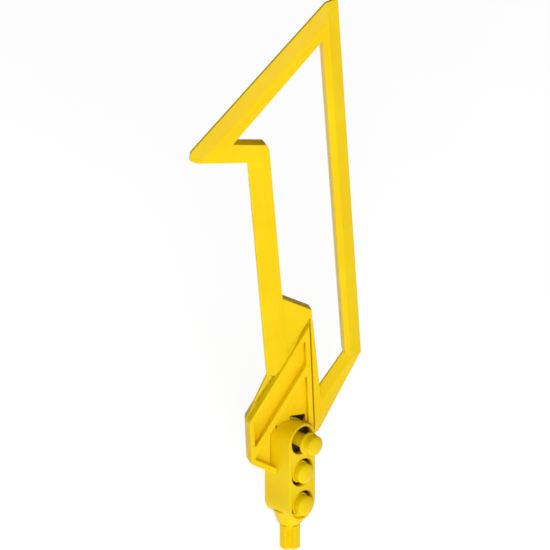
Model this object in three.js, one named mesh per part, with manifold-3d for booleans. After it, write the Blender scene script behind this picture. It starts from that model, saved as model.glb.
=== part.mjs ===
// A toy-construction flag blade: an open feather-shaped frame and its ribbed guard, held in a coupler
// block that swivels on a short pole stub. Millimetres, +Z up. The blade lies in the XZ plane with its
// front facing -Y, and the origin is the centre of the pole stub's bottom end.
import * as THREE from "three";
import { mergeVertices } from "three/addons/utils/BufferGeometryUtils.js";
import Module from "manifold-3d";

const wasm = await Module();
wasm.setup();

// ---------------------------------------------------------------- driving dimensions
const MODULE = 8; // pitch of the construction set
const GAP = 0.3; // left between pieces that touch
const RUNNING = 0.15; // radial clearance of a piece that turns or slides
const YELLOW = 0xf5c808;

// Pole stub.
const CROSS_REACH = 2.4; // half the width across two opposite arms
const CROSS_ARM = 0.95; // half an arm's thickness
const CROSS_HEIGHT = 6.0; // from the bottom end to just below the coupler's hub
const CROSS_CHAMFER = 0.35;
const SPIGOT_RADIUS = 2.0;
const SPIGOT_TOP = 15.6;
const GROOVE_RADIUS = 1.1;
const GROOVE_HALF = 1.95; // half the groove's height

// Coupler block.
const COUPLER_HALF = 4.0; // half its width and depth, and the radius of its round ends
const COUPLER_TURN = THREE.MathUtils.degToRad(29); // its front faces this far to the right of the blade's
const FIRST_HOLE = 11.9; // height of the lowest peg hole
const COUNTERBORE_RADIUS = 3.3;
const COUNTERBORE_DEPTH = 1.7;
// Tapered boss below the block, round the pole stub; its lower rim is bevelled by the edge.
const HUB = { low: 6.3, high: 10, lowRadius: 2.9, highRadius: 3.95, edge: 0.4 };

// Pegs.
const SHANK_RADIUS = 1.6;
const COLLAR_RADIUS = 2.55;
const COLLAR_THICK = 0.8;
const COLLAR_SINK = 0.6; // how far its outer face lies below the coupler's front face
const HEAD_RADIUS = 2.3;
const HEAD_RIM = 0.9; // straight part of the head in front of the coupler's face
const HEAD_DOME = 0.8; // domed part above it
const LONG_REACH = 6.1; // how far a blade peg's tip lies behind the coupler's front face
const SHORT_REACH = 2.5; // the same for the bottom peg, which only enters the spigot's groove
const TOP_PEG_OUT = 2.9; // the top peg stands pulled out by this much

// Blade thicknesses, each half the whole.
const BLADE_HALF = 1.5;
const EDGE_HALF = 0.35; // at a bevelled outer edge
const GUARD_HALF = 2.2;
const CORE_HALF = 0.4; // thin plate between the guard shells, which is also the tongue
const TONGUE_HALF_WIDTH = 3.1;
const TONGUE_BOTTOM = 17;

// Blade outline in X and Z.
const FOOT = [6.6, 28.2]; // where the lower diagonal bar reaches the coupler
const HEEL = [16.25, 46.5]; // lower end of the right bar
const TIP_RIGHT = [10.8, 134.3];
const TIP_LEFT = [8.0, 133.5];
const BARB = [-22.8, 101.0];
const BARB_BLUNT = [-22.9, 98.9];
const NECK = [-9.8, 97.3]; // inner corner between the barb and the left bar
const LEFT_FOOT = [-5.4, 43.8];
const GUARD_LEFT_TOP = [-10.2, 33.4];
const GUARD_LEFT_BOTTOM = [-9.8, 23.1];
const GUARD_BOTTOM_END = [-1, 17.8];
const GUARD_RIGHT_BOTTOM = [4.85, 31.6];
const GUARD_TOP = [3.85, 56.0];
const TONGUE_TURN = [3, 26]; // guard corner inside the coupler

// Window outline.
const WINDOW_APEX = [6.95, 124.8];
const WINDOW_BARB = [-13.4, 102.3];
const WINDOW_NECK_LEFT = [-5.9, 101.2];
const WINDOW_NECK_RIGHT = [-5.1, 100];
const PANEL_LEFT = [-2.1, 62.7];
const PANEL_RIGHT = [4.6, 59];
const WINDOW_KNEE = [6.5, 39.1];
const WINDOW_HEEL = [12.2, 47.1];

// Bevels along the outer edges, and the guard's ribs.
const BEVEL_WIDTH = 2.7;
const DIAGONAL_BEVEL = 2.0;
const GUARD_BEVEL = 0.35;
const GUARD_SIDE_GAP = 0.45; // between the guard's right side and the blade's edge strip
const RIM = 1.4; // width of the guard's raised rims
const RIGHT_RIM = 1.1;
const RIB = 1.45; // width of its middle rib
const RIB_DROP = 6.5; // from the upper rim straight down to the middle rib
const SLOT = { left: -0.4, right: 3.7, top: 33.1, bottom: 30.6 }; // opening over the coupler's crest
const CREST_COVER = 0.8; // thickness of the rear shell's cover behind that opening
const CREST_MARGIN = 0.7; // how far the cover overlaps the opening all round

// ---------------------------------------------------------------- solids
/** A three.js geometry as a manifold solid. */
function solid(geometry) {
  geometry.deleteAttribute("normal");
  geometry.deleteAttribute("uv");
  const merged = mergeVertices(geometry, 1e-4);
  return new wasm.Manifold(
    new wasm.Mesh({
      numProp: 3,
      vertProperties: merged.attributes.position.array,
      triVerts: new Uint32Array(merged.index.array),
    }),
  );
}

/** A closed outline through [x, z] points. */
const outline = (...points) => new THREE.Shape(points.map(([x, z]) => new THREE.Vector2(x, z)));

/** An outline in X and Z as a plate from the depth yFront back to yBack. */
function plate(shape, yFront, yBack, turn = 0) {
  const depth = yBack - yFront;
  const geometry = new THREE.ExtrudeGeometry(shape, { depth, bevelEnabled: false, curveSegments: 14 });
  geometry.rotateX(Math.PI / 2);
  geometry.translate(0, yBack, 0);
  geometry.rotateZ(turn);
  return solid(geometry);
}

/** A cylinder along Y, at height z, from yFront back to yBack. */
function drill(radius, z, yFront, yBack, turn = 0) {
  const circle = new THREE.Shape();
  circle.absarc(0, z, radius, 0, 2 * Math.PI);
  return plate(circle, yFront, yBack, turn);
}

/** The wedge that bevels one outer edge, from one end to the other, on the front or the back face. */
function wedge(from, to, width, faceHalf, side) {
  const slack = 1;
  const slope = (faceHalf - EDGE_HALF) / width;
  const section = new THREE.Shape([
    new THREE.Vector2(-slack, EDGE_HALF - slack * slope),
    new THREE.Vector2(width + slack, faceHalf + slack * slope),
    new THREE.Vector2(-slack, faceHalf + slack * slope),
  ]);
  const a = new THREE.Vector3(from[0], 0, from[1]);
  const b = new THREE.Vector3(to[0], 0, to[1]);
  const along = b.clone().sub(a).normalize();
  const inward = new THREE.Vector3(-along.z, 0, along.x);
  const outOfFace = new THREE.Vector3(0, side, 0);
  const run = new THREE.Vector3().crossVectors(inward, outOfFace);
  const start = run.dot(along) > 0 ? a : b;
  const depth = a.distanceTo(b);
  const geometry = new THREE.ExtrudeGeometry(section, { depth, bevelEnabled: false });
  geometry.applyMatrix4(new THREE.Matrix4().makeBasis(inward, outOfFace, run).setPosition(start));
  return solid(geometry);
}

/** The point a distance beyond b on the line from a. */
function beyond(a, b, distance) {
  const length = Math.hypot(b[0] - a[0], b[1] - a[1]);
  return [b[0] + ((b[0] - a[0]) * distance) / length, b[1] + ((b[1] - a[1]) * distance) / length];
}

/** A line moved sideways, to the left of its run. */
function shifted(a, b, distance) {
  const length = Math.hypot(b[0] - a[0], b[1] - a[1]);
  const dx = (-(b[1] - a[1]) * distance) / length;
  const dz = ((b[0] - a[0]) * distance) / length;
  return [
    [a[0] + dx, a[1] + dz],
    [b[0] + dx, b[1] + dz],
  ];
}

/** Cuts both faces of a plate back along one outer edge. */
function bevelled(body, from, to, width, faceHalf) {
  for (const side of [-1, 1]) body = body.subtract(wedge(from, to, width, faceHalf, side));
  return body;
}

/** The coupler's stadium-shaped block, grown all round. */
function couplerBlock(grow, turn) {
  const radius = COUPLER_HALF + grow;
  const stadium = new THREE.Shape();
  stadium.absarc(0, FIRST_HOLE + 2 * MODULE, radius, 0, Math.PI);
  stadium.absarc(0, FIRST_HOLE, radius, Math.PI, 2 * Math.PI);
  return plate(stadium, -radius, radius, turn);
}

/** A closed solid of revolution about Z from [radius, height] points that start and end on the axis. */
function turned(points, segments = 28) {
  return new THREE.LatheGeometry(points.map(([r, h]) => new THREE.Vector2(r, h)), segments).rotateX(
    Math.PI / 2,
  );
}

// ---------------------------------------------------------------- pieces
/** Pole stub: a cross-section shaft below, and above it a round spigot with a groove for the bottom peg. */
function crossShaft() {
  const corners = [
    [CROSS_REACH, -CROSS_ARM],
    [CROSS_REACH, CROSS_ARM],
    [CROSS_ARM, CROSS_ARM],
  ];
  const centre = new THREE.Vector2();
  const points = [0, 1, 2, 3].flatMap((quarter) =>
    corners.map(([x, y]) => new THREE.Vector2(x, y).rotateAround(centre, (quarter * Math.PI) / 2)),
  );
  const cross = new THREE.Shape(points);
  const bar = solid(new THREE.ExtrudeGeometry(cross, { depth: CROSS_HEIGHT, bevelEnabled: false }));
  const wide = CROSS_REACH + 0.1;
  const chamfer = solid(
    turned([
      [0, 0],
      [wide - CROSS_CHAMFER, 0],
      [wide, CROSS_CHAMFER],
      [wide, CROSS_HEIGHT],
      [0, CROSS_HEIGHT],
    ]),
  );
  const spigot = solid(
    turned([
      [0, CROSS_HEIGHT - 1],
      [SPIGOT_RADIUS, CROSS_HEIGHT - 1],
      [SPIGOT_RADIUS, FIRST_HOLE - GROOVE_HALF],
      [GROOVE_RADIUS, FIRST_HOLE - GROOVE_HALF],
      [GROOVE_RADIUS, FIRST_HOLE + GROOVE_HALF],
      [SPIGOT_RADIUS, FIRST_HOLE + GROOVE_HALF],
      [SPIGOT_RADIUS, SPIGOT_TOP],
      [0, SPIGOT_TOP],
    ]),
  );
  return bar.intersect(chamfer).add(spigot);
}

/** Coupler: counterbored peg holes in front, a hub and bore for the spigot below, a tongue slot above. */
function coupler() {
  const hub = turned([
    [0, HUB.low],
    [HUB.lowRadius - HUB.edge, HUB.low],
    [HUB.lowRadius, HUB.low + HUB.edge],
    [HUB.highRadius, HUB.high],
    [0, HUB.high],
  ]);
  let block = couplerBlock(0, 0).add(solid(hub));
  const reaches = [SHORT_REACH, LONG_REACH, LONG_REACH];
  reaches.forEach((reach, i) => {
    const z = FIRST_HOLE + i * MODULE;
    const outside = -COUPLER_HALF - 1;
    block = block.subtract(drill(COUNTERBORE_RADIUS, z, outside, -COUPLER_HALF + COUNTERBORE_DEPTH));
    block = block.subtract(drill(SHANK_RADIUS + RUNNING, z, outside, -COUPLER_HALF + reach + GAP));
  });
  const bore = turned([
    [0, 0],
    [SPIGOT_RADIUS + RUNNING, 0],
    [SPIGOT_RADIUS + RUNNING, SPIGOT_TOP + GAP],
    [0, SPIGOT_TOP + GAP],
  ]);
  const wide = TONGUE_HALF_WIDTH + GAP;
  const top = FIRST_HOLE + 3 * MODULE;
  const slot = outline(
    [-wide, TONGUE_BOTTOM - GAP],
    [wide, TONGUE_BOTTOM - GAP],
    [wide, top],
    [-wide, top],
  );
  const slotHalf = CORE_HALF + GAP;
  return block.subtract(solid(bore)).subtract(plate(slot, -slotHalf, slotHalf, -COUPLER_TURN));
}

/** Peg about Z, the coupler's front face at 0 when pushed home: shank and collar below, head above. */
function peg(reach) {
  const steps = 6;
  const dome = Array.from({ length: steps + 1 }, (_, i) => {
    const angle = (i / steps) * (Math.PI / 2);
    return [HEAD_RADIUS * Math.cos(angle), HEAD_RIM + HEAD_DOME * Math.sin(angle)];
  });
  dome[steps][0] = 0;
  return turned([
    [0, -reach],
    [SHANK_RADIUS, -reach],
    [SHANK_RADIUS, -COLLAR_SINK - COLLAR_THICK],
    [COLLAR_RADIUS, -COLLAR_SINK - COLLAR_THICK],
    [COLLAR_RADIUS, -COLLAR_SINK],
    [HEAD_RADIUS, -COLLAR_SINK],
    ...dome,
  ]);
}

/** The guard's outline, which the thin core plate shares. */
const guardOutline = () =>
  outline(
    GUARD_RIGHT_BOTTOM,
    GUARD_TOP,
    GUARD_LEFT_TOP,
    GUARD_LEFT_BOTTOM,
    GUARD_BOTTOM_END,
    TONGUE_TURN,
  );

/** Everything a piece near the coupler stays clear of: the block and the pegs' heads. */
function couplerClearance() {
  let room = couplerBlock(GAP, COUPLER_TURN);
  for (let i = 0; i < 3; i++) {
    const z = FIRST_HOLE + i * MODULE;
    room = room.add(drill(COLLAR_RADIUS + GAP, z, -3 * COUPLER_HALF, 0, COUPLER_TURN));
  }
  return room;
}

/** Blade: bevelled bars round an open window, a panel, a thin core plate and the tongue below it. */
function bladeFrame() {
  const shape = outline(
    FOOT,
    HEEL,
    TIP_RIGHT,
    TIP_LEFT,
    BARB,
    BARB_BLUNT,
    NECK,
    LEFT_FOOT,
    GUARD_LEFT_TOP,
    GUARD_LEFT_BOTTOM,
    GUARD_BOTTOM_END,
    TONGUE_TURN,
  );
  const window = outline(
    WINDOW_APEX,
    WINDOW_BARB,
    WINDOW_NECK_LEFT,
    WINDOW_NECK_RIGHT,
    PANEL_LEFT,
    PANEL_RIGHT,
    WINDOW_KNEE,
    WINDOW_HEEL,
  );
  let body = plate(shape, -BLADE_HALF, BLADE_HALF);
  body = body.subtract(plate(window, -2 * BLADE_HALF, 2 * BLADE_HALF));
  const heelIn = beyond(HEEL, FOOT, 6);
  const bevels = [
    [heelIn, beyond(FOOT, HEEL, 3), DIAGONAL_BEVEL],
    [beyond(TIP_RIGHT, HEEL, 3), beyond(HEEL, TIP_RIGHT, 3), BEVEL_WIDTH],
    [beyond(BARB, TIP_LEFT, 3), beyond(TIP_LEFT, BARB, 3), BEVEL_WIDTH],
    [NECK, beyond(NECK, LEFT_FOOT, 2), BEVEL_WIDTH],
    [LEFT_FOOT, GUARD_LEFT_TOP, BEVEL_WIDTH],
  ];
  for (const [from, to, width] of bevels) body = bevelled(body, from, to, width, BLADE_HALF);

  // The window's lower bevel runs out against the thick strip beside the guard.
  const stripEnd = beyond(PANEL_RIGHT, WINDOW_KNEE, 8);
  const stripSide = outline(PANEL_RIGHT, WINDOW_KNEE, stripEnd, LEFT_FOOT);
  const strip = body.intersect(plate(stripSide, -BLADE_HALF, BLADE_HALF));
  const kneeOut = beyond(WINDOW_HEEL, WINDOW_KNEE, 3);
  body = bevelled(body, WINDOW_HEEL, kneeOut, DIAGONAL_BEVEL, BLADE_HALF).add(strip);

  // The shells' room is cut from both faces, which leaves the core plate between them.
  const room = shellRoom();
  const past = 2 * GUARD_HALF;
  body = body.subtract(plate(room, -past, -CORE_HALF)).subtract(plate(room, CORE_HALF, past));
  body = body.subtract(couplerClearance());

  const tongueTop = SLOT.top + 2;
  const tongue = outline(
    [-TONGUE_HALF_WIDTH, TONGUE_BOTTOM],
    [TONGUE_HALF_WIDTH, TONGUE_BOTTOM],
    [TONGUE_HALF_WIDTH, tongueTop],
    [-TONGUE_HALF_WIDTH, tongueTop],
  );
  let key = plate(tongue, -CORE_HALF, CORE_HALF);
  for (const i of [1, 2]) {
    const z = FIRST_HOLE + i * MODULE;
    key = key.subtract(drill(SHANK_RADIUS + RUNNING, z, -COUPLER_HALF, COUPLER_HALF, COUPLER_TURN));
  }
  return body.add(key).subtract(plate(crestSlot(GAP), -CORE_HALF - 1, CORE_HALF + 1));
}

/** The guard's outline grown by its gaps, as the room that its shells need. */
function shellRoom() {
  const upper = shifted(GUARD_TOP, GUARD_LEFT_TOP, -GAP);
  const right = shifted(GUARD_RIGHT_BOTTOM, GUARD_TOP, -GUARD_SIDE_GAP);
  return outline(
    beyond(right[1], right[0], 4),
    meet(right, upper),
    beyond(upper[0], upper[1], 3),
    [GUARD_LEFT_BOTTOM[0] - 3, GUARD_LEFT_BOTTOM[1] - 3],
    [GUARD_BOTTOM_END[0], GUARD_BOTTOM_END[1] - 3],
  );
}

/** The opening over the coupler's crest. */
const crestSlot = (shrink) =>
  outline(
    [SLOT.left + shrink, SLOT.bottom],
    [SLOT.right - shrink, SLOT.bottom],
    [SLOT.right - shrink, SLOT.top - shrink],
    [SLOT.left + shrink, SLOT.top - shrink],
  );

/** The pockets of a guard shell: one above its middle rib, and one below it in which the coupler stands. */
function pockets() {
  const upper = shifted(GUARD_TOP, GUARD_LEFT_TOP, RIM);
  const left = shifted(GUARD_LEFT_TOP, GUARD_LEFT_BOTTOM, RIM);
  const bottom = shifted(GUARD_LEFT_BOTTOM, GUARD_BOTTOM_END, RIM);
  const right = shifted(GUARD_RIGHT_BOTTOM, GUARD_TOP, RIGHT_RIM);
  const ribTop = upper.map(([x, z]) => [x, z - RIB_DROP]);
  const ribBottom = shifted(ribTop[0], ribTop[1], RIB);
  return [
    outline(meet(right, ribTop), meet(right, upper), meet(upper, left), meet(left, ribTop)),
    outline(right[0], meet(right, ribBottom), meet(ribBottom, bottom), bottom[1], TONGUE_TURN),
  ];
}

/** Where two lines meet, each given by two points. */
function meet([a, b], [c, d]) {
  const r = [b[0] - a[0], b[1] - a[1]];
  const s = [d[0] - c[0], d[1] - c[1]];
  const t = ((c[0] - a[0]) * s[1] - (c[1] - a[1]) * s[0]) / (r[0] * s[1] - r[1] * s[0]);
  return [a[0] + t * r[0], a[1] + t * r[1]];
}

/** One ribbed guard shell: side -1 is the front one, 1 the rear one. */
function guardShell(side) {
  const inner = side * (CORE_HALF + GAP);
  const outer = side * GUARD_HALF;
  const [near, far] = [Math.min(inner, outer), Math.max(inner, outer)];
  let shell = plate(guardOutline(), near, far);
  for (const pocket of pockets()) shell = shell.subtract(plate(pocket, near - 1, far + 1));
  const bevels = [
    [beyond(GUARD_LEFT_TOP, GUARD_TOP, 3), beyond(GUARD_TOP, GUARD_LEFT_TOP, 3)],
    [beyond(GUARD_LEFT_BOTTOM, GUARD_LEFT_TOP, 3), beyond(GUARD_LEFT_TOP, GUARD_LEFT_BOTTOM, 3)],
  ];
  for (const [from, to] of bevels) shell = shell.subtract(wedge(from, to, GUARD_BEVEL, GUARD_HALF, side));
  if (side < 0) shell = shell.subtract(plate(crestSlot(0), near - 1, far + 1));
  if (side > 0) shell = shell.add(plate(crestSlot(-CREST_MARGIN), far - CREST_COVER, far));
  return shell.subtract(couplerClearance());
}

// ---------------------------------------------------------------- assembly
/** A solid or geometry as a named mesh with its own moulded-plastic material. */
function mesh(name, shape) {
  let geometry = shape;
  if (!shape.isBufferGeometry) {
    const { vertProperties, triVerts } = shape.getMesh();
    geometry = new THREE.BufferGeometry();
    geometry.setAttribute("position", new THREE.BufferAttribute(vertProperties, 3));
    geometry.setIndex(new THREE.BufferAttribute(triVerts, 1));
    geometry.computeVertexNormals();
  }
  const material = new THREE.MeshStandardMaterial({ color: YELLOW, roughness: 0.35, metalness: 0 });
  const made = new THREE.Mesh(geometry, material);
  made.name = name;
  return made;
}

const flag = new THREE.Group();
flag.add(mesh("blade_frame", bladeFrame()));
flag.add(mesh("front_guard", guardShell(-1)));
flag.add(mesh("rear_guard", guardShell(1)));

const couplerGroup = new THREE.Group();
couplerGroup.rotation.z = COUPLER_TURN;
couplerGroup.add(mesh("cross_shaft", crossShaft()));
couplerGroup.add(mesh("coupler", coupler()));
for (const [name, row, reach, out] of [
  ["bottom_peg", 0, SHORT_REACH, 0],
  ["middle_peg", 1, LONG_REACH, 0],
  ["top_peg", 2, LONG_REACH, TOP_PEG_OUT],
]) {
  const made = mesh(name, peg(reach));
  made.position.set(0, -COUPLER_HALF - out, FIRST_HOLE + row * MODULE);
  made.rotation.x = Math.PI / 2;
  couplerGroup.add(made);
}
flag.add(couplerGroup);

export default flag;
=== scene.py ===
import math

import bmesh
import bpy
import numpy as np
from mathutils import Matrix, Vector
from mathutils.geometry import tessellate_polygon


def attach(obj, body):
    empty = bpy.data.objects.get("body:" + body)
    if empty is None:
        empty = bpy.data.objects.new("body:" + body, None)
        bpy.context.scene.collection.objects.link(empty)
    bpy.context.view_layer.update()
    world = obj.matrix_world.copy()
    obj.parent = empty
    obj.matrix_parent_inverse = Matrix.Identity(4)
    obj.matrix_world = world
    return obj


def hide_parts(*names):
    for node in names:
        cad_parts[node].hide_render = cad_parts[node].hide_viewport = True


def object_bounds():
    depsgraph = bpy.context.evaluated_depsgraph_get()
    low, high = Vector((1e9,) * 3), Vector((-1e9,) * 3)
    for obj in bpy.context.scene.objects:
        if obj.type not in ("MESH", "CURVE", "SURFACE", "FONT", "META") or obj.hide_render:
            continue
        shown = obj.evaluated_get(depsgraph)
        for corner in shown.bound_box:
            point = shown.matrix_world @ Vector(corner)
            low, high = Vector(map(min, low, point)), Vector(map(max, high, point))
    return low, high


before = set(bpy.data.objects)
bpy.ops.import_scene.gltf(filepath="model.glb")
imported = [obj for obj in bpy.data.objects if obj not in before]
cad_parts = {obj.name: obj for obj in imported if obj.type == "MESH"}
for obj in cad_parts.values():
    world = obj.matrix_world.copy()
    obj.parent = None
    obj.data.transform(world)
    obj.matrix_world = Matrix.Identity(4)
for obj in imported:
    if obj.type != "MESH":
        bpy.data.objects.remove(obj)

cad_low, cad_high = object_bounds()

# ------------------------------------------------------------------ camera
# A very long lens stands in front of the flag, a little to its left and above it, and looks at a point
# just above its middle. It is so far away that the bars keep their true slopes.
azimuth, elevation = math.radians(-16), math.radians(27.3)
middle = (cad_low + cad_high) / 2
left_of_middle, above_middle = 0.00010, 0.00093
aim = Vector((middle.x - left_of_middle, 0, middle.z + above_middle))
back = Vector((
    math.sin(azimuth) * math.cos(elevation),
    -math.cos(azimuth) * math.cos(elevation),
    math.sin(elevation),
))
camera = bpy.data.objects.new("camera", bpy.data.cameras.new("camera"))
camera.data.lens, camera.data.sensor_width = 1200, 36
view_width = 0.121
camera.location = aim + back * (view_width * camera.data.lens / camera.data.sensor_width)
camera.rotation_euler = (math.pi / 2 - elevation, 0, azimuth)
bpy.context.scene.collection.objects.link(camera)
bpy.context.scene.camera = camera

# ------------------------------------------------------------------ blade: bars and panel
# The flag itself: one bar that runs round an open window, with sloped outer edges, and a flat panel at
# the window's foot. It is injection moulded in solid yellow ABS, so every edge has a small radius.


def meet(a, b, c, d):
    """Where the line through a and b crosses the line through c and d, all in the plane of the blade."""
    a, b, c, d = (np.asarray(p, float) for p in (a, b, c, d))
    r, s = b - a, d - c
    return a + r * ((c - a)[0] * s[1] - (c - a)[1] * s[0]) / (r[0] * s[1] - r[1] * s[0])


def inwards(a, b, width):
    """The line through a and b moved a width to the left of its run, as two points."""
    a, b = np.asarray(a, float), np.asarray(b, float)
    run = (b - a) / np.linalg.norm(b - a)
    step = width * np.array([-run[1], run[0]])
    return a + step, b + step


def round_corners(points, cut, steps, closed=False):
    """Polylines along axis 0 with their corners rounded: each corner P becomes the quadratic curve that
    starts a cut before P, is drawn towards P and ends a cut after it, where a cut takes no more than a
    set share of a short side. An open line keeps its two ends."""
    most_of_side = 0.45
    if closed:
        points = np.concatenate([points[-1:], points, points[:1]])
    before, corner, after = points[:-2], points[1:-1], points[2:]

    def towards(other):
        span = np.linalg.norm(other - corner, axis=-1, keepdims=True)
        return corner + (other - corner) * np.minimum(cut / np.maximum(span, 1e-9), most_of_side)

    t = np.linspace(0, 1, steps).reshape((1, steps) + (1,) * (points.ndim - 1))
    start, end = towards(before)[:, None], towards(after)[:, None]
    curve = (1 - t) ** 2 * start + 2 * t * (1 - t) * corner[:, None] + t ** 2 * end
    curve = curve.reshape((-1,) + points.shape[1:])
    return curve if closed else np.concatenate([points[:1], curve, points[-1:]])


def wall(rings):
    """Quads between neighbouring rings of points, (rings, points, 3), each ring closed on itself."""
    rows, count = rings.shape[:2]
    index = np.arange(rows * count).reshape(rows, count)
    beside = np.roll(index, -1, axis=1)
    quads = np.stack([index[:-1], beside[:-1], beside[1:], index[1:]], axis=-1)
    return rings.reshape(-1, 3), quads.reshape(-1, 4).tolist()


def cap(*loops):
    """A flat filling of the first loop that leaves the other loops open."""
    triangles = tessellate_polygon([[Vector(p) for p in loop] for loop in loops])
    return np.concatenate(loops), [list(t) for t in triangles]


def piece(name, parts, material, body, turn=0.0):
    """One closed mesh from (points, faces) parts in millimetres, turned about the pole's axis. Points
    that coincide become one, and its faces point outwards. It rides on its body."""
    starts = np.cumsum([0] + [len(points) for points, _ in parts[:-1]])
    points = np.concatenate([points for points, _ in parts]) / 1000
    c, s = math.cos(turn), math.sin(turn)
    points = points @ np.array([[c, s, 0], [-s, c, 0], [0, 0, 1]])
    faces = [[i + start for i in face] for start, (_, some) in zip(starts, parts) for face in some]
    mesh = bpy.data.meshes.new(name)
    mesh.from_pydata(points.tolist(), [], faces)
    shape = bmesh.new()
    shape.from_mesh(mesh)
    bmesh.ops.remove_doubles(shape, verts=shape.verts, dist=1e-7)
    bmesh.ops.dissolve_degenerate(shape, edges=shape.edges, dist=1e-8)
    bmesh.ops.recalc_face_normals(shape, faces=shape.faces)
    shape.to_mesh(mesh)
    shape.free()
    made = bpy.data.objects.new(name, mesh)
    bpy.context.scene.collection.objects.link(made)
    made.data.materials.append(material)
    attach(made, body)
    return made


def finish_shading(made, sharp=35):
    """Smooth shading that breaks at edges over that many degrees and leans on the larger faces."""
    made.data.shade_smooth()
    made.data.set_sharp_from_angle(angle=math.radians(sharp))
    lean = made.modifiers.new("flat faces", "WEIGHTED_NORMAL")
    lean.keep_sharp = True


# The third colour, near black, is painted shade for the shadow deep in holes and in the crest slot.
yellow, deep_yellow, painted_shade = (0.92, 0.665, 0.001), (0.87, 0.555, 0.001), (0.035, 0.016, 0.001)


def moulded_plastic(name, colour, shade, roughness):
    """Yellow ABS from a fine-grained mould: a colour that drifts a little, at random, towards its deeper
    tone, gloss that varies in patches, a faint orange-peel relief and a grain of handling marks. Where a
    piece has the attribute "recess", painted shade darkens the colour with it, for the shadow deep in
    holes."""
    made = bpy.data.materials.new(name)
    made.use_nodes = True
    nodes, links = made.node_tree.nodes, made.node_tree.links
    shader = nodes["Principled BSDF"]
    shader.inputs["IOR"].default_value = 1.52
    shader.inputs["Specular IOR Level"].default_value = 0.11
    shader.inputs["Subsurface Weight"].default_value = 0.12
    shader.inputs["Subsurface Radius"].default_value = (1.0, 0.55, 0.05)
    shader.inputs["Subsurface Scale"].default_value = 0.0006
    place = nodes.new("ShaderNodeTexCoord")

    def noise(scale, detail):
        made_noise = nodes.new("ShaderNodeTexNoise")
        made_noise.inputs["Scale"].default_value = scale
        made_noise.inputs["Detail"].default_value = detail
        links.new(place.outputs["Object"], made_noise.inputs["Vector"])
        return made_noise.outputs["Fac"]

    def spread(value, low, high):
        ramp = nodes.new("ShaderNodeMapRange")
        ramp.inputs["From Min"].default_value = 0.3
        ramp.inputs["From Max"].default_value = 0.7
        ramp.inputs["To Min"].default_value = low
        ramp.inputs["To Max"].default_value = high
        links.new(value, ramp.inputs["Value"])
        return ramp.outputs["Result"]

    tint = nodes.new("ShaderNodeMix")
    tint.data_type = "RGBA"
    tint.inputs["A"].default_value = (*colour, 1)
    tint.inputs["B"].default_value = (*shade, 1)
    links.new(spread(noise(70, 3), 0.0, 0.8), tint.inputs["Factor"])
    # Painted shade: the colour goes towards near black with the "recess" attribute, for the shadow deep
    # in holes.
    deep = nodes.new("ShaderNodeAttribute")
    deep.attribute_name = "recess"
    shade_mix = nodes.new("ShaderNodeMix")
    shade_mix.data_type = "RGBA"
    shade_mix.inputs["B"].default_value = (*painted_shade, 1)
    links.new(deep.outputs["Fac"], shade_mix.inputs["Factor"])
    links.new(tint.outputs["Result"], shade_mix.inputs["A"])
    links.new(shade_mix.outputs["Result"], shader.inputs["Base Color"])
    links.new(spread(noise(420, 4), roughness - 0.06, roughness + 0.08), shader.inputs["Roughness"])
    peel = nodes.new("ShaderNodeBump")
    peel.inputs["Strength"].default_value = 0.12
    peel.inputs["Distance"].default_value = 0.00006
    links.new(noise(1500, 2), peel.inputs["Height"])
    grain = nodes.new("ShaderNodeBump")
    grain.inputs["Strength"].default_value = 0.10
    grain.inputs["Distance"].default_value = 0.00001
    links.new(noise(9000, 1), grain.inputs["Height"])
    links.new(peel.outputs["Normal"], grain.inputs["Normal"])
    links.new(grain.outputs["Normal"], shader.inputs["Normal"])
    return made


def paint_recess_shade(made, amount):
    """Stores how much painted shade each point of a piece gets, from 0 on the open surface to 1 deep
    inside, where the amount is worked out from the points' places in millimetres."""
    place = np.empty(len(made.data.vertices) * 3, dtype=np.float32)
    made.data.vertices.foreach_get("co", place)
    layer = made.data.attributes.new("recess", "FLOAT", "POINT")
    value = np.clip(amount(place.reshape(-1, 3) * 1000), 0, 1)
    layer.data.foreach_set("value", value.astype(np.float32))


blade_plastic = moulded_plastic("blade plastic", yellow, deep_yellow, 0.34)

foot, heel = (6.6, 28.2), (16.25, 46.5)
tip_right, tip_left = (10.8, 134.3), (8.0, 133.5)
barb, barb_blunt, neck = (-22.8, 101.0), (-22.9, 98.9), (-9.8, 97.3)
left_foot, guard_left_top = (-5.4, 43.8), (-10.2, 33.4)
guard_top, guard_right_bottom, tongue_turn = (3.85, 56.0), (4.85, 31.6), (3.0, 26.0)
window_apex, window_barb = (6.95, 124.8), (-13.4, 102.3)
window_neck_left, window_neck_right = (-5.9, 101.2), (-5.1, 100.0)
panel_left, panel_right = (-2.1, 62.7), (4.6, 59.0)
window_knee, window_heel = (6.5, 39.1), (12.2, 47.1)
bar_bevel, diagonal_bevel = 2.7, 2.0
face_half, panel_half, edge_half = 1.5, 1.38, 0.35
guard_gap, guard_side_gap = 0.3, 0.45
corner_cut, edge_cut = 0.35, 0.16

# Lines that the sloped edges reach on the faces, and the lines where the guard's recess begins.
right_line = inwards(heel, tip_right, bar_bevel)
slant_line = inwards(tip_left, barb, bar_bevel)
left_line = inwards(neck, left_foot, bar_bevel)
left_foot_line = inwards(left_foot, guard_left_top, bar_bevel)
foot_line = inwards(foot, heel, diagonal_bevel)
knee_line = inwards(window_heel, window_knee, diagonal_bevel)
recess_line = inwards(guard_left_top, guard_top, guard_gap)
strip_line = inwards(guard_top, guard_right_bottom, guard_side_gap)
strip_edge, bar_side = (panel_right, window_knee), (window_neck_right, panel_left)
heel_face, peak = meet(*foot_line, *right_line), meet(*right_line, *slant_line)
barb_face = meet(*slant_line, barb_blunt, neck)
left_foot_face = meet(*left_line, *left_foot_line)
recess_left = meet(*recess_line, left_foot, guard_left_top)
strip_top = meet(*recess_line, *strip_line)
strip_knee = meet(*strip_line, window_knee, (0, window_knee[1]))
strip_foot = meet(*strip_line, *foot_line)
knee_face = meet(*knee_line, *strip_edge)
strip_side = meet(*strip_edge, strip_top, (0, strip_top[1]))

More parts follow.
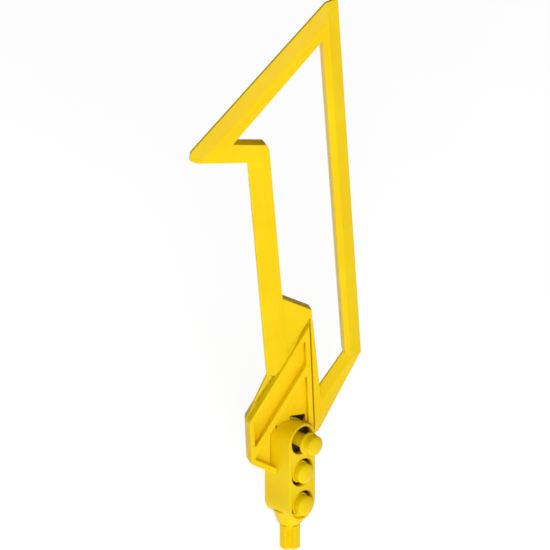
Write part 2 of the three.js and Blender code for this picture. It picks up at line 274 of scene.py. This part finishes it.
# Each row is a station along the bar: its outer edge, where its outer slope meets the face, where its
# inner slope meets the face, and its inner edge. The last row leads back to the first.
stations = [
    (foot, strip_foot, knee_face, window_knee),
    (heel, heel_face, knee_line[0], window_heel),
    (heel, heel_face, window_heel, window_heel),
    (tip_right, peak, window_apex, window_apex),
    (tip_left, peak, window_apex, window_apex),
    (barb, barb_face, window_barb, window_barb),
    (barb_blunt, barb_face, window_barb, window_barb),
    (barb_face, barb_face, window_barb, window_barb),
    (neck, neck, window_neck_left, window_neck_left),
    (neck, meet(*left_line, barb_blunt, neck), window_neck_right, window_neck_right),
    (left_foot, left_foot_face, panel_left, panel_left),
    (left_foot, left_foot_face, panel_left, panel_left),
    (left_foot, left_foot_face, panel_right, panel_right),
    (recess_left, meet(*left_foot_line, *recess_line), panel_right, panel_right),
    (strip_top, strip_top, strip_side, strip_side),
    (strip_knee, strip_knee, window_knee, window_knee),
    (strip_foot, strip_foot, knee_face, window_knee),
    (meet(*strip_line, tongue_turn, foot), strip_foot, knee_face, window_knee),
]
plan = np.array([[np.asarray(p, float) for p in row] for row in stations])
outer, outer_face, inner_face, inner = plan.transpose(1, 0, 2)
# The panel, rows 11 to 14, lies a little lower than the bars; its seam runs down beside the left bar
# and dies away at the top of the strip, the last of these rows.
panel_rows, strip_top_row = slice(11, 15), 14
seam = (outer_face + inner_face) / 2
seam[panel_rows] = [
    panel_left, meet(*bar_side, left_foot, panel_right), meet(*bar_side, *recess_line),
    0.75 * strip_top + 0.25 * strip_side,
]
face_depth, inner_depth = np.full((2, len(plan)), face_half)
inner_depth[panel_rows] = panel_half
face_depth[strip_top_row] = panel_half


def at(line, depth):
    """A line in the plane of the blade, set at a depth."""
    depth = np.broadcast_to(depth, len(line))
    return np.stack([line[:, 0], depth, line[:, 1]], axis=-1)


front_half = [
    at(outer, -edge_half), at(outer_face, -face_depth), at(seam, -face_depth),
    at(seam, -inner_depth), at(inner_face, -inner_depth), at(inner, -edge_half),
]
rear_half = [line * np.array([1, -1, 1]) for line in front_half[::-1]]
sections = round_corners(np.stack(front_half + rear_half, axis=1), corner_cut, 4, closed=True)
sections = round_corners(sections.transpose(1, 0, 2), edge_cut, 4, closed=True).transpose(1, 0, 2)
sections = np.concatenate([sections, sections[:1]])
blade = piece("blade", [wall(sections)], blade_plastic, "flag")

# ------------------------------------------------------------------ blade: core plate and tongue
# Below the recess line the blade goes on as a thin plate between the two guard shells, and ends in a
# tongue that slides into the coupler's slot. It is one moulding with the bars, and its two holes take
# the pegs that lock it.


def inset(loop, distance):
    """A dense closed loop moved inwards by a distance, each point along the normal of its two
    neighbours' chord. The loop runs anticlockwise in X and Z; a negative distance grows it."""
    chord = np.roll(loop, -1, axis=0) - np.roll(loop, 1, axis=0)
    chord = chord / np.linalg.norm(chord, axis=1, keepdims=True)
    return loop + distance * np.stack([-chord[:, 1], chord[:, 0]], axis=-1)


def edged_rings(front_loop, rear_loop, front, rear, radius, steps=4, inside=False):
    """Rings of a plate's wall from its front face to its rear face. The loop goes straight from its
    front shape to its rear shape, and at both faces it draws in by a quarter circle of the radius. A
    wall round a hole draws outwards instead."""
    turn = np.linspace(0, math.pi / 2, steps)
    draw = radius * (1 - np.sin(turn))
    depth = radius * (1 - np.cos(turn))
    draws = np.concatenate([draw, draw[::-1]]) * (-1 if inside else 1)
    depths = np.concatenate([front + depth, (rear - depth)[::-1]])
    share = (depths - front) / (rear - front)
    loops = [inset(front_loop * (1 - w) + rear_loop * w, d) for w, d in zip(share, draws)]
    return np.stack([at(loop, depth) for loop, depth in zip(loops, depths)])


def plate(front_loop, rear_loop, holes, front, rear, radius):
    """The parts of a closed plate with rounded edges: its outer wall, a wall round each hole, and a
    filling for each face. Each hole is a pair of loops, front and rear, that run as the outline does."""
    outer_rings = edged_rings(front_loop, rear_loop, front, rear, radius)
    hole_rings = [edged_rings(a, b, front, rear, radius, inside=True) for a, b in holes]
    walls = [wall(rings) for rings in [outer_rings, *hole_rings]]
    caps = [cap(outer_rings[end], *[rings[end] for rings in hole_rings]) for end in (0, -1)]
    return walls + caps


def circle(centre, radius, count=64, stretch=1.0):
    """Points round a circle in X and Z, drawn out along X by the stretch."""
    angle = np.linspace(0, 2 * math.pi, count, endpoint=False)
    along = centre[0] + radius * stretch * np.cos(angle)
    return np.stack([along, centre[1] + radius * np.sin(angle)], axis=-1)


def carve(made, parts, turn=0.0):
    """Cuts a closed tool, given as parts in millimetres, out of a piece."""
    tool = piece("tool", parts, made.data.materials[0], "flag", turn)
    cut = made.modifiers.new("cut", "BOOLEAN")
    cut.operation, cut.solver, cut.object = "DIFFERENCE", "EXACT", tool
    depsgraph = bpy.context.evaluated_depsgraph_get()
    shaped = bpy.data.meshes.new_from_object(made.evaluated_get(depsgraph))
    made.modifiers.remove(cut)
    before, made.data = made.data, shaped
    bpy.data.meshes.remove(before)
    bpy.data.objects.remove(tool)


def stadium(grow, count=48):
    """The coupler's outline seen along its holes, grown all round: two half circles joined by straight
    sides."""
    angle = np.linspace(0, math.pi, count)
    radius = coupler_half + grow
    top = np.stack([radius * np.cos(angle), first_hole + 2 * module + radius * np.sin(angle)], axis=-1)
    bottom = np.stack([-radius * np.cos(angle), first_hole - radius * np.sin(angle)], axis=-1)
    return np.concatenate([top, bottom])


def straight_tool(loop, front, rear):
    """The parts of a plain closed prism of a loop between two depths, for cutting."""
    rings = np.stack([at(loop, front), at(loop, rear)])
    return [wall(rings), cap(rings[0]), cap(rings[1])]


module, first_hole, coupler_half = 8.0, 11.9, 4.0
coupler_turn = math.radians(29)
shank_radius, running = 1.6, 0.15
collar_room = 2.85
core_half, tongue_half, tongue_bottom = 0.4, 3.1, 17.0
guard_left_bottom, guard_bottom_end = (-9.8, 23.1), (-1.0, 17.8)
slot_left, slot_right, slot_top, slot_low = -0.1, 3.4, 32.8, 30.6


def coupler_room(thing):
    """Clears a piece of the flag from the coupler and, in front of it, from the upper pegs' collars."""
    reach = coupler_half + guard_gap
    carve(thing, straight_tool(stadium(guard_gap), -reach, reach), coupler_turn)
    for row in (1, 2):
        ring = circle((0, first_hole + row * module), collar_room)
        carve(thing, straight_tool(ring, -3 * coupler_half, 0), coupler_turn)


# The core plate reaches a little way into the bars and the strip beside it, so that they overlap.
embed, side_embed, outline_cut = 0.8, 0.3, 0.4
core_top = inwards(guard_left_top, guard_top, guard_gap + embed)
core_right = inwards(guard_top, guard_right_bottom, guard_side_gap + side_embed)
core_outline = np.array([
    guard_bottom_end, tongue_turn, meet(*core_right, (0, foot[1]), foot), meet(*core_right, *core_top),
    meet(*core_top, *inwards(left_foot, guard_left_top, embed)), guard_left_top, guard_left_bottom,
])
core_loop = round_corners(core_outline, outline_cut, 5, closed=True)
core_edge, tongue_edge = 0.12, 0.1
core = piece(
    "core_plate", plate(core_loop, core_loop, [], -core_half, core_half, core_edge),
    blade_plastic, "flag",
)
# The tongue's root lies within the core plate above the crest slot. It is a hair thinner than the
# plate, so that their faces never coincide.
tongue_root, hair = 2.3, 0.02
tongue_top, tongue_depth = slot_top + tongue_root, core_half - hair
tongue_outline = round_corners(np.array([
    (-tongue_half, tongue_bottom), (tongue_half, tongue_bottom),
    (tongue_half, tongue_top), (-tongue_half, tongue_top),
]), 0.5, 5, closed=True)
# The coupler is turned about the pole, so its pegs cross the tongue at a slant: their holes are drawn
# out sideways, and shift sideways from the front face to the rear one.
skew = math.tan(coupler_turn) * core_half * np.array([1, 0])
peg_rings = [
    circle((0, first_hole + row * module), shank_radius + running, stretch=1 / math.cos(coupler_turn))
    for row in (1, 2)
]
tongue = piece(
    "tongue",
    plate(
        tongue_outline, tongue_outline, [(r + skew, r - skew) for r in peg_rings],
        -tongue_depth, tongue_depth, tongue_edge,
    ),
    blade_plastic, "flag",
)
for made in (blade, core):
    coupler_room(made)
crest_slot = np.array([
    (slot_left, slot_low), (slot_right, slot_low), (slot_right, slot_top), (slot_left, slot_top),
])
through = 1.0
for made in (core, tongue):
    carve(made, straight_tool(crest_slot, -through, through))
for made in (blade, core, tongue):
    finish_shading(made)
    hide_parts("blade_frame")

# ------------------------------------------------------------------ guard shells
# Two ribbed shells that cover the blade's root, front and rear, pressed on over the core plate. Each is
# a thin ABS moulding: a raised rim, a slanting middle rib and two open pockets, with sloped outer sides.
guard_plastic = moulded_plastic("guard plastic", yellow, deep_yellow, 0.34)
guard_half, guard_bevel = 2.2, 0.35
rim, right_rim, rib, rib_drop = 1.4, 1.1, 1.45, 6.5
shell_edge, pocket_share, pocket_corner = 0.14, 0.85, (1.8, 26.0)


def guard_loop(depth):
    """The shell's outline at a depth from the middle plane: its upper and left sides slope inwards as
    the depth grows, and the others stand straight."""
    slope = guard_bevel * (depth - edge_half) / (guard_half - edge_half)
    upper = inwards(guard_top, guard_left_top, slope)
    left = inwards(guard_left_top, guard_left_bottom, slope)
    corners = np.array([
        guard_right_bottom, meet(guard_right_bottom, guard_top, *upper), meet(*upper, *left),
        meet(*left, guard_left_bottom, guard_bottom_end), guard_bottom_end, tongue_turn,
    ])
    return round_corners(corners, outline_cut, 5, closed=True)


def pocket_loops():
    """The two pockets: one above the middle rib, and one below it whose lower right part lies within
    the room that is cleared for the coupler."""
    upper = inwards(guard_top, guard_left_top, rim)
    left = inwards(guard_left_top, guard_left_bottom, rim)
    bottom = inwards(guard_left_bottom, guard_bottom_end, rim)
    right = inwards(guard_right_bottom, guard_top, right_rim)
    rib_top = np.asarray(upper) - np.array([0, rib_drop])
    rib_low = inwards(*rib_top, rib)
    behind_coupler = [bottom[0] * (1 - pocket_share) + bottom[1] * pocket_share, pocket_corner]
    corners = [
        [meet(*right, *rib_top), meet(*right, *upper), meet(*upper, *left), meet(*left, *rib_top)],
        [right[0], meet(*right, *rib_low), meet(*rib_low, *bottom), *behind_coupler],
    ]
    return [round_corners(np.array(loop), outline_cut, 6, closed=True) for loop in corners]


for side, name in ((-1, "front_guard"), (1, "rear_guard")):
    near, far = core_half + guard_gap, guard_half
    front, rear = sorted((side * near, side * far))
    loops = {side * near: guard_loop(near), side * far: guard_loop(far)}
    holes = [(loop, loop) for loop in pocket_loops()]
    shell = piece(
        name + "_shell", plate(loops[front], loops[rear], holes, front, rear, shell_edge),
        guard_plastic, "flag",
    )
    coupler_room(shell)
    finish_shading(shell)
    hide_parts(name)

# A small cover closes the rear shell behind the slot over the coupler's crest. Its face towards the slot
# carries painted shade, for the shadow in the slot, and its back is left without it.
cover_thick, cover_margin, cover_unshaded, cover_gap, cover_edge = 0.8, 0.7, 0.3, 0.03, 0.1
cover_grow = np.array([(-1, -2), (1, -2), (1, 1), (-1, 1)]) * cover_margin
cover_loop = round_corners(crest_slot + cover_grow, 0.3, 5, closed=True)
cover = piece(
    "rear_guard_cover",
    plate(cover_loop, cover_loop, [], guard_half - cover_thick, guard_half - hair, cover_edge),
    guard_plastic, "flag",
)
carve(cover, straight_tool(stadium(cover_gap), -coupler_half, coupler_half), coupler_turn)
# Painted shade on the cover, darkest on its face towards the slot.
paint_recess_shade(cover, lambda place: (guard_half - cover_unshaded - place[:, 1]) / (cover_thick - cover_unshaded))
finish_shading(cover)
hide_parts("rear_guard")

# ------------------------------------------------------------------ coupler block
# A three-module block with round ends that holds the blade's tongue in a slot above and turns on the
# pole stub in a bore below, where it has a tapered hub. It is one ABS moulding, with a counterbored hole
# for each peg.
coupler_plastic = moulded_plastic("coupler plastic", yellow, deep_yellow, 0.34)
counterbore_radius, counterbore_depth = 3.3, 1.7
spigot_radius, spigot_top = 2.0, 15.6
bore_radius = spigot_radius + running
long_reach, short_reach = 6.1, 2.5
block_edge, lip, step_edge = 0.28, 0.18, 0.1


def bored(height, reach, count=72):
    """Rings down a counterbored hole from the block's front face: a rounded lip, the counterbore's side
    and floor, and the shank hole down to its bottom. The last ring is the bottom's edge."""
    turn = np.linspace(0, math.pi / 2, 5)
    side = counterbore_radius + lip * (1 - np.sin(turn))
    down = lip * (1 - np.cos(turn))
    shank = shank_radius + running
    step_side = [counterbore_radius, counterbore_radius - step_edge, shank + step_edge, shank]
    step_down = counterbore_depth + step_edge * np.array([-1, 0, 0, 1])
    side = np.concatenate([side, step_side, [shank]])
    down = np.concatenate([down, step_down, [reach + guard_gap]])
    angle = np.linspace(0, 2 * math.pi, count, endpoint=False)
    return np.stack([
        side[:, None] * np.cos(angle),
        np.broadcast_to(down[:, None] - coupler_half, (len(side), count)),
        height + side[:, None] * np.sin(angle),
    ], axis=-1)


block_loop = stadium(0)
block_rings = edged_rings(block_loop, block_loop, -coupler_half, coupler_half, block_edge, steps=5)
bores = [
    bored(first_hole + row * module, reach)
    for row, reach in enumerate((short_reach, long_reach, long_reach))
]
parts = [wall(block_rings), cap(block_rings[-1]), cap(block_rings[0], *[rings[0] for rings in bores])]
for rings in bores:
    parts += [wall(rings), (rings[-1], [list(range(rings.shape[1]))])]
coupler = piece("coupler_block", parts, coupler_plastic, "flag", coupler_turn)


def turned(profile, count=96):
    """Rings of a solid turned about Z from (radius, height) rows."""
    angle = np.linspace(0, 2 * math.pi, count, endpoint=False)
    radius, height = np.asarray(profile, float).T
    return np.stack([
        radius[:, None] * np.cos(angle), radius[:, None] * np.sin(angle),
        np.broadcast_to(height[:, None], (len(radius), count)),
    ], axis=-1)


def closed_ends(rings):
    """The parts of a closed solid from rings: its wall and a flat face at each end."""
    whole = list(range(rings.shape[1]))
    return [wall(rings), (rings[0], [whole]), (rings[-1], [whole])]


bore = turned([(bore_radius, 0), (bore_radius, spigot_top + guard_gap)])
carve(coupler, closed_ends(bore))
wide, slot_half = tongue_half + guard_gap, core_half + guard_gap
slot_loop = np.array([
    (-wide, tongue_bottom - guard_gap), (wide, tongue_bottom - guard_gap),
    (wide, first_hole + 3 * module), (-wide, first_hole + 3 * module),
])
carve(coupler, straight_tool(slot_loop, -slot_half, slot_half))


def counterbore_shade(place):
    """The painted shade of a point of the coupler in a peg hole: it grows with depth from 0 just inside
    the lip to 1 near the counterbore's floor, and is 0 for every point outside the holes."""
    side = place[:, 0] * math.cos(coupler_turn) + place[:, 1] * math.sin(coupler_turn)
    depth = place[:, 1] * math.cos(coupler_turn) - place[:, 0] * math.sin(coupler_turn) + coupler_half
    rows = first_hole + module * np.arange(3)
    away = np.hypot(side[:, None], place[:, 2:] - rows).min(axis=1)
    margin, shade_start, fully_dark = 0.05, 0.2, counterbore_depth - 0.3
    amount = (depth - shade_start) / (fully_dark - shade_start)
    return np.where(away < counterbore_radius + margin, amount, 0)


# Painted shade in the peg holes, deepening towards each counterbore's floor, for the shadow round the
# pegs.
paint_recess_shade(coupler, counterbore_shade)
finish_shading(coupler)
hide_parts("coupler")

# The tapered hub below the block is a ring round the bore; its upper part lies within the block.
hub_low, hub_high, hub_low_radius, hub_high_radius = 6.3, 10.0, 2.9, 3.95
hub_inset, hub_rise, hub_cut = 0.25, 0.4, 0.2
hub_section = round_corners(np.array([
    (bore_radius, hub_low), (hub_low_radius - hub_inset, hub_low), (hub_low_radius, hub_low + hub_rise),
    (hub_high_radius, hub_high), (bore_radius, hub_high),
]), hub_cut, 5, closed=True)
hub_rings = turned(hub_section)
hub = piece(
    "coupler_hub", [wall(np.concatenate([hub_rings, hub_rings[:1]]))],
    coupler_plastic, "flag", coupler_turn,
)
finish_shading(hub)
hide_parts("coupler")

# ------------------------------------------------------------------ pegs
# Three round pegs pushed into the coupler's front. Each is an ABS moulding with a shank, a collar that
# sits in the counterbore and a domed head; the top one stands part of the way out.
peg_plastic = moulded_plastic("peg plastic", yellow, deep_yellow, 0.30)
collar_radius, collar_thick, collar_sink = 2.55, 0.8, 0.6
head_radius, head_rim, head_dome = 2.3, 0.9, 0.8
peg_cut, peg_flat, top_peg_out = 0.2, 0.02, 2.9


def peg_profile(reach):
    """A peg's half section from its tip to the top of its dome, as (radius, height) rows with rounded
    corners; the dome is a quarter ellipse. Both ends stop a hair short of the axis, as small flats."""
    sweep = np.linspace(0, math.pi / 2, 15)[:-1]
    dome = np.stack([head_radius * np.cos(sweep), head_rim + head_dome * np.sin(sweep)], axis=-1)
    low = -collar_sink - collar_thick
    body = np.array([
        (peg_flat, -reach), (shank_radius, -reach), (shank_radius, low), (collar_radius, low),
        (collar_radius, -collar_sink), (head_radius, -collar_sink), tuple(dome[0]),
    ])
    top = (peg_flat, head_rim + head_dome)
    return np.concatenate([round_corners(body, peg_cut, 5), dome[1:], [top]])


for name, row, reach, out in (
    ("bottom_peg", 0, short_reach, 0.0),
    ("middle_peg", 1, long_reach, 0.0),
    ("top_peg", 2, long_reach, top_peg_out),
):
    # The peg's own axis becomes the hole's: its height runs out of the coupler's front face.
    across, beside, along = np.moveaxis(turned(peg_profile(reach)), -1, 0)
    rings = np.stack([across, -coupler_half - out - along, first_hole + row * module + beside], axis=-1)
    peg = piece(name + "_turned", closed_ends(rings), peg_plastic, name, coupler_turn)
    finish_shading(peg)
    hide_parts(name)

# ------------------------------------------------------------------ pole stub
# The short end of the pole: a cross-section shaft of the construction set's kind, and above it a round
# spigot that the coupler turns on. The bottom peg's tip rides in the spigot's groove and keeps it in.
pole_plastic = moulded_plastic("pole plastic", yellow, deep_yellow, 0.36)
cross_reach, cross_arm, cross_height = 2.4, 0.95, 6.0
cross_chamfer, cross_edge, spigot_edge = 0.35, 0.28, 0.15
groove_radius, groove_half, spigot_root, spigot_flat = 1.1, 1.95, 1.0, 0.4


def cross_loop():
    """The shaft's section: a cross whose outer and inner corners all have small radii."""
    quarter = np.array([(cross_reach, -cross_arm), (cross_reach, cross_arm), (cross_arm, cross_arm)])
    turn = np.array([[0.0, 1.0], [-1.0, 0.0]])
    corners = np.concatenate([quarter @ np.linalg.matrix_power(turn, k) for k in range(4)])
    return round_corners(corners, cross_edge, 6, closed=True)


def shaft_rings(loop):
    """Rings of the shaft from its bottom end up. A cone about the axis draws in whatever lies outside
    it, which chamfers the bottom end, and the last rings draw in by a small radius at the top."""
    top = np.array([0, 0.04, 0.12])
    height = np.concatenate([np.linspace(0, cross_chamfer, 4), cross_height - top[::-1]])
    shrink = np.concatenate([np.zeros(4), top])
    cone_foot = cross_reach - cross_chamfer + 0.1
    limit = cone_foot + height
    radius = np.linalg.norm(loop, axis=1)
    scale = np.minimum(1, limit[:, None] / radius) * (1 - shrink[:, None] / radius)
    return np.stack([
        loop[:, 0] * scale, loop[:, 1] * scale, np.broadcast_to(height[:, None], scale.shape),
    ], axis=-1)


low, high = first_hole - groove_half, first_hole + groove_half
spigot_line = np.array([
    (spigot_radius, cross_height - spigot_root), (spigot_radius, low), (groove_radius, low),
    (groove_radius, high), (spigot_radius, high), (spigot_radius, spigot_top), (spigot_flat, spigot_top),
])
for name, rings in (
    ("pole_stub", shaft_rings(cross_loop())),
    ("pole_spigot", turned(round_corners(spigot_line, spigot_edge, 4))),
):
    made = piece(name, closed_ends(rings), pole_plastic, "pole", coupler_turn)
    finish_shading(made)
    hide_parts("cross_shaft")

# ------------------------------------------------------------------ light and floor
# A wide white floor that glows a little, so that it stays pale in the flag's shadow; one soft light in
# front and to the left; and a faint light from all round.
floor = bpy.data.objects.new("floor", bpy.data.meshes.new("floor"))
floor_reach = 3.0
corners = floor_reach * np.array([(-1, -1, 0), (1, -1, 0), (1, 1, 0), (-1, 1, 0)])
floor.data.from_pydata(corners.tolist(), [], [(0, 1, 2, 3)])
bpy.context.scene.collection.objects.link(floor)
paper = bpy.data.materials.new("floor paper")
paper.use_nodes = True
finish = paper.node_tree.nodes["Principled BSDF"].inputs
finish["Base Color"].default_value = (0.7, 0.7, 0.7, 1)
finish["Roughness"].default_value = 0.9
finish["Emission Color"].default_value = (1, 1, 1, 1)
finish["Emission Strength"].default_value = 0.87
floor.data.materials.append(paper)


def softbox(name, azimuth, elevation, distance, size, watts):
    """A square area light aimed at the middle of the flag from that direction."""
    light = bpy.data.objects.new(name, bpy.data.lights.new(name, "AREA"))
    light.data.size, light.data.energy = size, watts
    a, e = math.radians(azimuth), math.radians(elevation)
    towards = Vector((math.sin(a) * math.cos(e), -math.cos(a) * math.cos(e), math.sin(e)))
    light.location = aim + towards * distance
    light.rotation_euler = towards.to_track_quat("Z", "Y").to_euler()
    bpy.context.scene.collection.objects.link(light)


softbox("key", azimuth=-13, elevation=20, distance=0.9, size=0.30, watts=4.6)
world = bpy.data.worlds.new("studio")
world.use_nodes = True
sky = world.node_tree.nodes["Background"].inputs
sky["Color"].default_value = (1, 1, 1, 1)
sky["Strength"].default_value = 0.06
bpy.context.scene.world = world
bpy.context.scene.view_settings.view_transform = "Standard"
